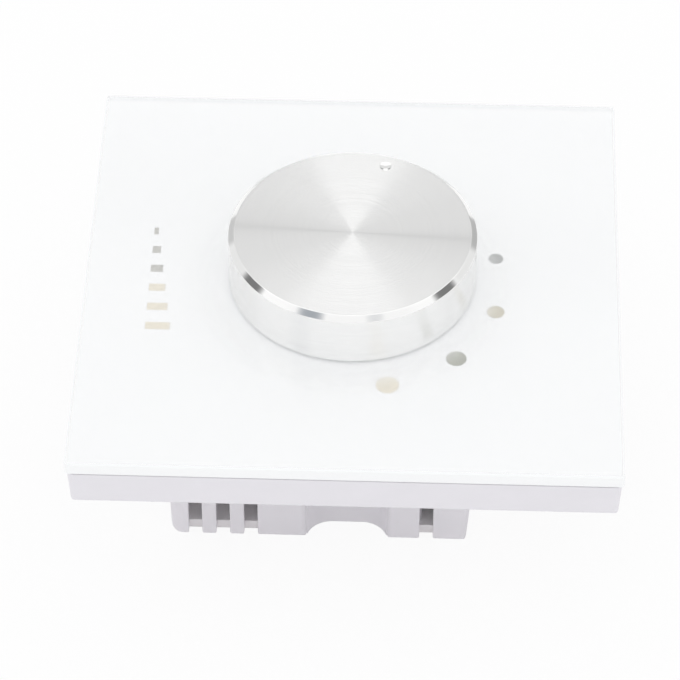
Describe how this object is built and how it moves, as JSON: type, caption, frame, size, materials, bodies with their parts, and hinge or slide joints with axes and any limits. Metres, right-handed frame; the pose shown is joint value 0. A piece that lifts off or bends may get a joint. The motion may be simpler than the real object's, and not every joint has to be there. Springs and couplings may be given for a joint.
{
  "type": "wall volume control",
  "caption": "Square glass wall plate with a stepped metal volume knob, a clip-on frame and a vented rear housing that holds a rotary switch and a tapped line transformer.",
  "frame": {"origin": "on the knob axis in the wall plane, midway between the two wall box screws", "axes": "+X right along the wall, +Y up the wall, +Z out of the wall along the knob axis"},
  "size_m": [0.086, 0.086, 0.0415],
  "materials": {
    "clear_glass": "clear polished glass",
    "white_print": "white print on the back of the glass",
    "silver_print": "silver print on the back of the glass",
    "adhesive": "soft grey foam tape",
    "white_plastic": "satin moulded plastic",
    "housing_plastic": "matte moulded plastic",
    "cover_plastic": "satin moulded plastic",
    "turned_aluminium": "turned face, satin side and polished chamfer",
    "black_plastic": "matte moulded plastic",
    "spring_steel": "bright spring steel",
    "shaft_brass": "nickel-plated brass",
    "zinc_casting": "satin die casting",
    "zinc_steel": "bright zinc plating",
    "contact_brass": "bright brass",
    "nylon": "natural moulded nylon",
    "phenolic": "brown laminate",
    "board_laminate": "green solder mask",
    "core_steel": "varnished laminations",
    "enamelled_wire": "enamelled copper wire",
    "coil_tape": "polyester tape",
    "tinned_wire": "tinned wire",
    "terminal_plastic": "green moulded plastic"
  },
  "bodies": {
    "housing": {"glass_panel": "clear_glass", "white_print": "white_print", "dial_dots": "silver_print", "level_bars": "silver_print", "adhesive_sheet": "adhesive", "front_frame": "white_plastic", "base_plate": "white_plastic", "base_screws": "zinc_steel", "rear_housing": "housing_plastic", "back_cover": "cover_plastic", "cover_screws": "zinc_steel", "switch_bush": "zinc_casting", "lock_washer": "zinc_steel", "bush_nut": "contact_brass", "switch_case": "black_plastic", "switch_rivets": "contact_brass", "detent_spring": "spring_steel", "contact_wafer": "phenolic", "contact_studs": "contact_brass", "circuit_board": "board_laminate", "board_screws": "zinc_steel", "core_e_stack": "core_steel", "core_i_stack": "core_steel", "coil_bobbin": "nylon", "coil_winding": "enamelled_wire", "coil_tape": "coil_tape", "coil_pins": "tinned_wire", "core_clamp": "zinc_steel", "clamp_screws": "zinc_steel", "terminal_body": "terminal_plastic", "terminal_clamps": "contact_brass", "terminal_screws": "zinc_steel"},
    "knob": {"knob_cap": "turned_aluminium", "knob_insert": "black_plastic", "knob_clip": "spring_steel", "switch_shaft": "shaft_brass", "shaft_clip": "spring_steel", "detent_wheel": "nylon", "contact_rotor": "phenolic", "contact_wiper": "contact_brass"}
  },
  "joints": [
    {"name": "knob_turn", "type": "hinge", "parent": "housing", "child": "knob", "pos_m": [0, 0, 0], "axis": [0, 0, -1], "range_deg": [0, 150], "deforming": ["detent_spring"]}
  ]
}
